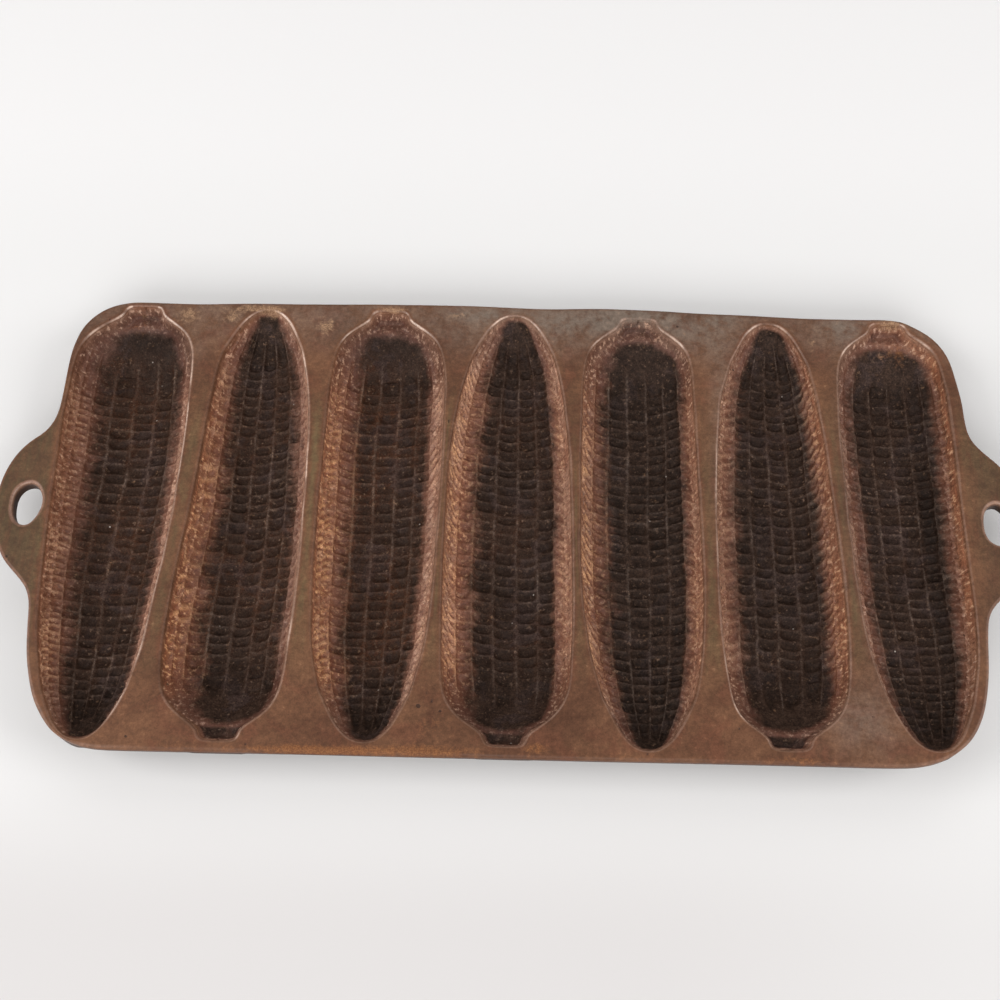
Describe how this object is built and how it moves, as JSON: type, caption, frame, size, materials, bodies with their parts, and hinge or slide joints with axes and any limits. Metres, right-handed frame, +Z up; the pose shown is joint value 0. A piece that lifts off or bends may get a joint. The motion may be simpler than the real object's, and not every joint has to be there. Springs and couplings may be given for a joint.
{
  "type": "corn stick pan",
  "caption": "Flat cast iron baking pan with a row of ear-of-corn moulds laid head to tail, and an ear-shaped tab with an oval hanging hole at each end.",
  "frame": {"origin": "middle of the pan's footprint, on the surface that it stands on", "axes": "+X along the pan through both handles, +Y towards the edge where the first mould has its stalk, +Z up out of the moulds"},
  "size_m": [0.2888, 0.1366, 0.0174],
  "materials": {
    "seasoned_iron": "as-cast iron with a worn brown-black seasoning and light rust"
  },
  "bodies": {
    "root": {"deck": "seasoned_iron", "cob_mould_1": "seasoned_iron", "cob_mould_2": "seasoned_iron", "cob_mould_3": "seasoned_iron", "cob_mould_4": "seasoned_iron", "cob_mould_5": "seasoned_iron", "cob_mould_6": "seasoned_iron", "cob_mould_7": "seasoned_iron", "left_handle": "seasoned_iron", "right_handle": "seasoned_iron"}
  },
  "joints": []
}
